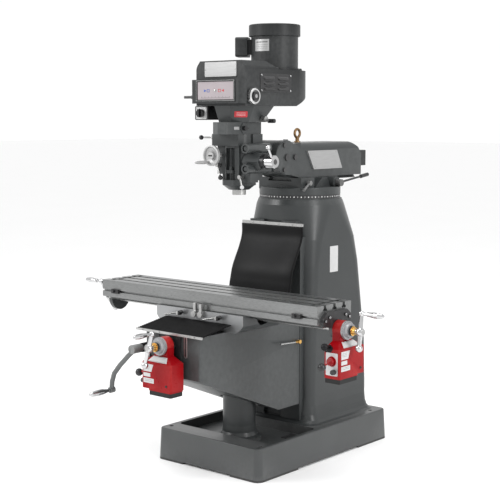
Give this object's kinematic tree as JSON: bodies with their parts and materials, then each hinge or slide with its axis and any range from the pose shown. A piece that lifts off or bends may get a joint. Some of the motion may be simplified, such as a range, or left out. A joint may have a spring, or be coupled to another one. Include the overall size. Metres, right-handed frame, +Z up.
{
  "type": "vertical milling machine",
  "caption": "Knee-type vertical turret milling machine with a sliding ram, tilting belt-drive head, T-slotted table, power feeds on two axes and ball-crank handwheels.",
  "frame": {"origin": "on the floor at the centre of the four anchor holes in the base", "axes": "+X to the operator's right along the table, +Y to the back, +Z up along the spindle"},
  "size_m": [1.663, 1.581, 1.9505],
  "materials": {
    "machine_paint": "semi-gloss dark grey machine enamel",
    "castings_paint": "semi-gloss dark grey enamel over cast iron",
    "ground_iron": "ground and lightly oiled",
    "bright_steel": "turned bright steel",
    "polished_chrome": "polished",
    "red_enamel": "gloss red enamel",
    "black_plastic": "gloss black",
    "black_rubber": "smooth glossy rubber sheet",
    "black_steel": "satin black oxide",
    "grey_dial": "matt anodised",
    "silver_plate": "brushed plate",
    "eye_brass": "dull yellow chromate"
  },
  "bodies": {
    "base": {"base": "castings_paint", "column": "castings_paint", "pedestal": "castings_paint", "clamp_bar": "bright_steel", "rear_way_cover": "black_rubber"},
    "knee": {"knee": "castings_paint", "knee_plate": "castings_paint", "elevating_screw": "bright_steel", "front_way_cover": "black_rubber", "y_feed_housing": "red_enamel"},
    "knee_clamp_lever": {"knee_clamp_lever": "bright_steel"},
    "knee_crank": {"knee_crank": "castings_paint"},
    "y_feed_lever": {"y_feed_lever": "black_plastic"},
    "y_feed_speed_knob": {"y_feed_speed_knob": "black_plastic"},
    "cross_screw": {"cross_screw": "bright_steel", "y_crank": "polished_chrome", "y_feed_dial": "grey_dial"},
    "saddle": {"saddle": "castings_paint", "stop_bracket": "bright_steel"},
    "saddle_lever_left": {"saddle_lever_left": "black_steel"},
    "saddle_lever_right": {"saddle_lever_right": "black_steel"},
    "table": {"table": "ground_iron", "table_stop_dogs": "black_steel", "left_end_bracket": "castings_paint", "adapter_plate": "black_steel", "x_feed_housing": "red_enamel"},
    "table_screw": {"table_screw": "bright_steel", "table_cranks": "polished_chrome", "x_feed_dial": "grey_dial"},
    "x_feed_lever": {"x_feed_lever": "black_plastic"},
    "x_feed_speed_knob": {"x_feed_speed_knob": "black_plastic"},
    "turret": {"turret": "castings_paint"},
    "ram_pinion_lever": {"ram_pinion_lever": "black_steel"},
    "ram_clamp_lever": {"ram_clamp_lever": "black_steel"},
    "ram": {"ram": "castings_paint", "ram_side_plates": "silver_plate", "ram_pivot_bolts": "black_steel", "eye_bolt": "eye_brass", "rear_box": "machine_paint"},
    "ram_adapter": {"ram_adapter": "castings_paint"},
    "head": {"quill_housing": "castings_paint", "feed_case": "castings_paint", "gear_housing": "castings_paint", "belt_housing": "machine_paint", "speed_cover": "machine_paint", "motor": "machine_paint", "motor_fan_cover": "machine_paint", "drum_switch": "machine_paint"},
    "quill": {"quill": "bright_steel"},
    "spindle": {"spindle": "bright_steel"},
    "quill_feed_lever": {"quill_feed_lever": "polished_chrome"},
    "fine_feed_wheel": {"fine_feed_wheel": "bright_steel"},
    "speed_wheel": {"speed_wheel": "bright_steel"},
    "brake_lever": {"brake_lever": "black_plastic"},
    "range_lever": {"range_lever": "black_plastic"},
    "quill_lock_lever": {"quill_lock_lever": "black_plastic"},
    "feed_reverse_lever": {"feed_reverse_lever": "black_plastic"},
    "feed_trip_lever": {"feed_trip_lever": "black_plastic"},
    "feed_selector_knob": {"feed_selector_knob": "black_plastic"},
    "switch_knob": {"switch_knob": "black_plastic"}
  },
  "joints": [
    {"name": "knee_lift", "type": "slide", "parent": "base", "child": "knee", "axis": [0, 0, 1], "range_m": [-0.06, 0.38], "deforming": ["rear_way_cover"]},
    {"name": "knee_clamp_turn", "type": "hinge", "parent": "knee", "child": "knee_clamp_lever", "pos_m": [0.168, -0.026, 0.53], "axis": [1, 0, 0], "range_deg": [-25, 60]},
    {"name": "knee_crank_turn", "type": "hinge", "parent": "knee", "child": "knee_crank", "pos_m": [-0.125, -0.762, 0.57], "axis": [0, 1, 0], "range_deg": [-30, 140]},
    {"name": "cross_feed", "type": "slide", "parent": "knee", "child": "saddle", "axis": [0, 1, 0], "range_m": [-0.07, 0.205], "deforming": ["front_way_cover"]},
    {"name": "cross_screw_turn", "type": "hinge", "parent": "knee", "child": "cross_screw", "pos_m": [0, -0.728, 0.594], "axis": [0, 1, 0], "continuous": true},
    {"name": "y_feed_lever_turn", "type": "hinge", "parent": "knee", "child": "y_feed_lever", "pos_m": [-0.09, -0.733, 0.478], "axis": [1, 0, 0], "range_deg": [-25, 25]},
    {"name": "y_feed_speed_turn", "type": "hinge", "parent": "knee", "child": "y_feed_speed_knob", "pos_m": [-0.09, -0.749, 0.438], "axis": [1, 0, 0], "range_deg": [-135, 135]},
    {"name": "saddle_lever_left_turn", "type": "hinge", "parent": "saddle", "child": "saddle_lever_left", "pos_m": [-0.095, -0.53, 0.697], "axis": [0, 1, 0], "range_deg": [0, 45]},
    {"name": "saddle_lever_right_turn", "type": "hinge", "parent": "saddle", "child": "saddle_lever_right", "pos_m": [0.128, -0.53, 0.697], "axis": [0, 1, 0], "range_deg": [0, 45]},
    {"name": "table_feed", "type": "slide", "parent": "saddle", "child": "table", "axis": [1, 0, 0], "range_m": [-0.368, 0.368]},
    {"name": "table_screw_turn", "type": "hinge", "parent": "table", "child": "table_screw", "pos_m": [0.7, -0.3755, 0.691], "axis": [1, 0, 0], "continuous": true},
    {"name": "x_feed_lever_turn", "type": "hinge", "parent": "table", "child": "x_feed_lever", "pos_m": [0.6725, -0.4565, 0.575], "axis": [0, 1, 0], "range_deg": [-25, 25]},
    {"name": "x_feed_speed_turn", "type": "hinge", "parent": "table", "child": "x_feed_speed_knob", "pos_m": [0.6885, -0.4565, 0.535], "axis": [0, 1, 0], "range_deg": [-135, 135]},
    {"name": "turret_swivel", "type": "hinge", "parent": "base", "child": "turret", "pos_m": [0, 0.193, 1.19], "axis": [0, 0, 1], "range_deg": [-180, 180]},
    {"name": "ram_pinion_turn", "type": "hinge", "parent": "turret", "child": "ram_pinion_lever", "pos_m": [0.15, 0.279, 1.236], "axis": [1, 0, 0], "range_deg": [0, 60]},
    {"name": "ram_clamp_turn", "type": "hinge", "parent": "turret", "child": "ram_clamp_lever", "pos_m": [0.134, 0.092, 1.24], "axis": [1, 0, 0], "range_deg": [-60, 0]},
    {"name": "ram_slide", "type": "slide", "parent": "turret", "child": "ram", "axis": [0, -1, 0], "range_m": [-0.065, 0.24]},
    {"name": "head_nod", "type": "hinge", "parent": "ram", "child": "ram_adapter", "pos_m": [0, -0.033, 1.359], "axis": [1, 0, 0], "range_deg": [-40, 45]},
    {"name": "head_tilt", "type": "hinge", "parent": "ram_adapter", "child": "head", "pos_m": [0, -0.15, 1.359], "axis": [0, 1, 0], "range_deg": [-90, 90]},
    {"name": "quill_feed", "type": "slide", "parent": "head", "child": "quill", "axis": [0, 0, 1], "range_m": [-0.127, 0]},
    {"name": "quill_handle_turn", "type": "hinge", "parent": "head", "child": "quill_feed_lever", "pos_m": [0.15, -0.239, 1.347], "axis": [1, 0, 0], "range_deg": [0, 201]},
    {"name": "spindle_spin", "type": "hinge", "parent": "quill", "child": "spindle", "pos_m": [0, -0.243, 1.3], "axis": [0, 0, 1], "continuous": true},
    {"name": "fine_feed_turn", "type": "hinge", "parent": "head", "child": "fine_feed_wheel", "pos_m": [-0.059, -0.33, 1.372], "axis": [0, 1, 0], "continuous": true},
    {"name": "speed_wheel_turn", "type": "hinge", "parent": "head", "child": "speed_wheel", "pos_m": [0.146, -0.326, 1.627], "axis": [1, 0, 0], "continuous": true},
    {"name": "brake_turn", "type": "hinge", "parent": "head", "child": "brake_lever", "pos_m": [-0.145, -0.373, 1.625], "axis": [1, 0, 0], "range_deg": [-15, 15]},
    {"name": "range_turn", "type": "hinge", "parent": "head", "child": "range_lever", "pos_m": [0.08, -0.19, 1.53], "axis": [1, 0, 0], "range_deg": [-20, 20]},
    {"name": "quill_lock_turn", "type": "hinge", "parent": "head", "child": "quill_lock_lever", "pos_m": [0.062, -0.294, 1.28], "axis": [0, 1, 0], "range_deg": [-20, 20]},
    {"name": "feed_reverse_turn", "type": "hinge", "parent": "head", "child": "feed_reverse_lever", "pos_m": [-0.072, -0.292, 1.33], "axis": [0, 1, 0], "range_deg": [-20, 20]},
    {"name": "feed_trip_turn", "type": "hinge", "parent": "head", "child": "feed_trip_lever", "pos_m": [-0.111, -0.28, 1.449], "axis": [1, 0, 0], "range_deg": [-20, 20]},
    {"name": "feed_selector_turn", "type": "hinge", "parent": "head", "child": "feed_selector_knob", "pos_m": [0.06, -0.287, 1.491], "axis": [1, 0, 0], "range_deg": [-60, 60]},
    {"name": "switch_turn", "type": "hinge", "parent": "head", "child": "switch_knob", "pos_m": [-0.16, -0.302, 1.556], "axis": [0, 1, 0], "range_deg": [-60, 60]}
  ],
  "couplings": [
    {"joint": "quill_handle_turn", "follows": "quill_feed", "rad_per_m": -27.5}
  ]
}
